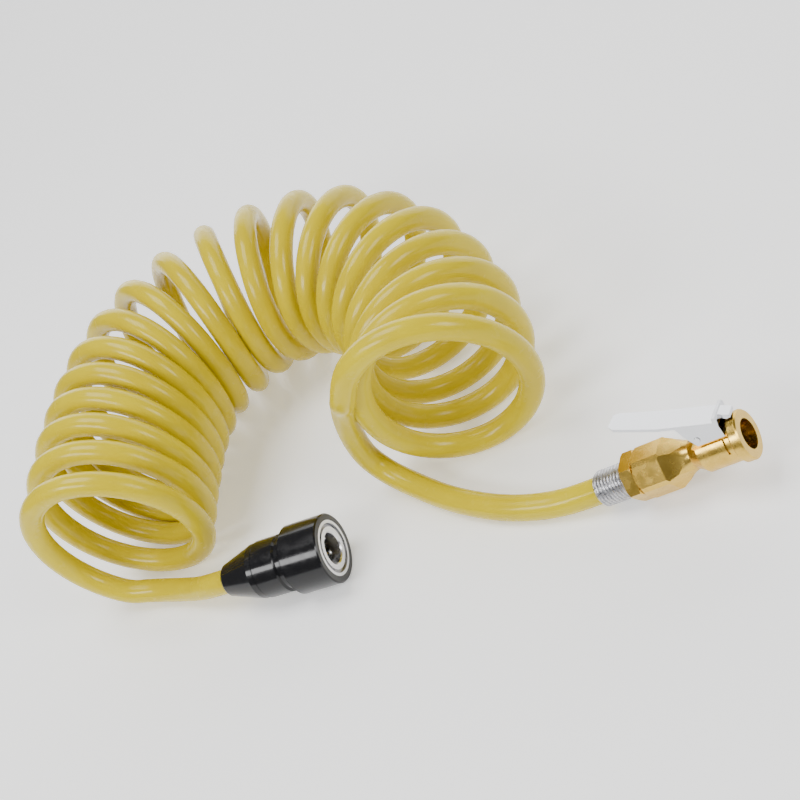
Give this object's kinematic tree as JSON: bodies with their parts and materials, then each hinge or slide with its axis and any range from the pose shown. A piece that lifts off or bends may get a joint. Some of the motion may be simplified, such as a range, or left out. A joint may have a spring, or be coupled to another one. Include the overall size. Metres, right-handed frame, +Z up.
{
  "type": "coiled air hose with tyre chuck",
  "caption": "Coiled air hose lying on the floor, with a clip-on tyre chuck and its lever on one end and a quick coupler socket with a sliding collar on the other.",
  "frame": {"origin": "on the floor, under the middle of the two end fittings", "axes": "+X out of the quick coupler's mouth along its axis, +Z up, +Y towards the coiled hose behind the fittings"},
  "size_m": [0.2991, 0.2025, 0.08],
  "materials": {
    "hose_yellow": "glossy, slightly clear polyurethane",
    "brass": "machined",
    "chrome": "bright pressed sheet",
    "nickel": "nickel plated, turned thread",
    "steel": "bright turned",
    "spring_steel": "drawn wire",
    "black_plastic": "moulded",
    "black_rubber": "matt",
    "fibre": "pressed fibre"
  },
  "bodies": {
    "hose_and_fittings": {"hose_coil": "hose_yellow", "hose_tail_chuck": "hose_yellow", "hose_tail_coupler": "hose_yellow", "chuck_body": "brass", "nose_seal": "black_rubber", "spring_retainer": "brass", "valve_spring": "spring_steel", "fibre_washer": "fibre", "hose_nipple": "nickel", "lock_nut": "brass", "hose_barb": "brass", "lever_pin": "steel", "lever_spring": "spring_steel", "coupler_body": "steel", "spring_washer": "steel", "sleeve_spring": "spring_steel", "retaining_ring": "spring_steel", "plug_seal": "black_rubber", "poppet_spring": "spring_steel", "hose_stem": "brass", "stem_seal": "black_rubber", "hose_ferrule": "brass", "rear_cover": "black_plastic", "clamp_nut": "black_plastic"},
    "lever": {"lever": "chrome", "claw": "chrome"},
    "valve": {"valve_pin": "brass", "valve_seal": "black_rubber"},
    "sleeve": {"sleeve_liner": "steel", "sleeve_cover": "black_plastic"},
    "poppet": {"poppet": "brass", "poppet_seal": "black_rubber"},
    "ball_1": {"lock_ball_1": "steel"},
    "ball_2": {"lock_ball_2": "steel"},
    "ball_3": {"lock_ball_3": "steel"},
    "ball_4": {"lock_ball_4": "steel"},
    "ball_5": {"lock_ball_5": "steel"},
    "ball_6": {"lock_ball_6": "steel"}
  },
  "joints": [
    {"name": "lever_hinge", "type": "hinge", "parent": "hose_and_fittings", "child": "lever", "pos_m": [0.09174, -0.00433, 0.02499], "axis": [-0.1909, -0.9233, 0.3333], "range_deg": [0, 18], "stiffness_Nm_per_rad": 0.25, "springref_deg": -20.05, "deforming": ["lever_spring"]},
    {"name": "valve_slide", "type": "slide", "parent": "hose_and_fittings", "child": "valve", "axis": [-0.9671, 0.1187, -0.225], "range_m": [0, 0.0015], "stiffness_N_per_m": 800, "springref_m": -0.002, "deforming": ["valve_spring"]},
    {"name": "sleeve_slide", "type": "slide", "parent": "hose_and_fittings", "child": "sleeve", "axis": [-1, 0, 0], "range_m": [0, 0.0032], "stiffness_N_per_m": 1500, "springref_m": -0.003, "deforming": ["sleeve_spring"]},
    {"name": "poppet_slide", "type": "slide", "parent": "hose_and_fittings", "child": "poppet", "axis": [-1, 0, 0], "range_m": [0, 0.002], "stiffness_N_per_m": 800, "springref_m": -0.003, "deforming": ["poppet_spring"]},
    {"name": "ball_slide_1", "type": "slide", "parent": "hose_and_fittings", "child": "ball_1", "axis": [0, -0.5, 0.866], "range_m": [0, 0.0008]},
    {"name": "ball_slide_2", "type": "slide", "parent": "hose_and_fittings", "child": "ball_2", "axis": [0, -1, 0], "range_m": [0, 0.0008]},
    {"name": "ball_slide_3", "type": "slide", "parent": "hose_and_fittings", "child": "ball_3", "axis": [0, -0.5, -0.866], "range_m": [0, 0.0008]},
    {"name": "ball_slide_4", "type": "slide", "parent": "hose_and_fittings", "child": "ball_4", "axis": [0, 0.5, -0.866], "range_m": [0, 0.0008]},
    {"name": "ball_slide_5", "type": "slide", "parent": "hose_and_fittings", "child": "ball_5", "axis": [0, 1, 0], "range_m": [0, 0.0008]},
    {"name": "ball_slide_6", "type": "slide", "parent": "hose_and_fittings", "child": "ball_6", "axis": [0, 0.5, 0.866], "range_m": [0, 0.0008]}
  ],
  "couplings": [
    {"joint": "ball_slide_1", "follows": "sleeve_slide", "ratio": 0.25},
    {"joint": "ball_slide_2", "follows": "sleeve_slide", "ratio": 0.25},
    {"joint": "ball_slide_3", "follows": "sleeve_slide", "ratio": 0.25},
    {"joint": "ball_slide_4", "follows": "sleeve_slide", "ratio": 0.25},
    {"joint": "ball_slide_5", "follows": "sleeve_slide", "ratio": 0.25},
    {"joint": "ball_slide_6", "follows": "sleeve_slide", "ratio": 0.25}
  ]
}
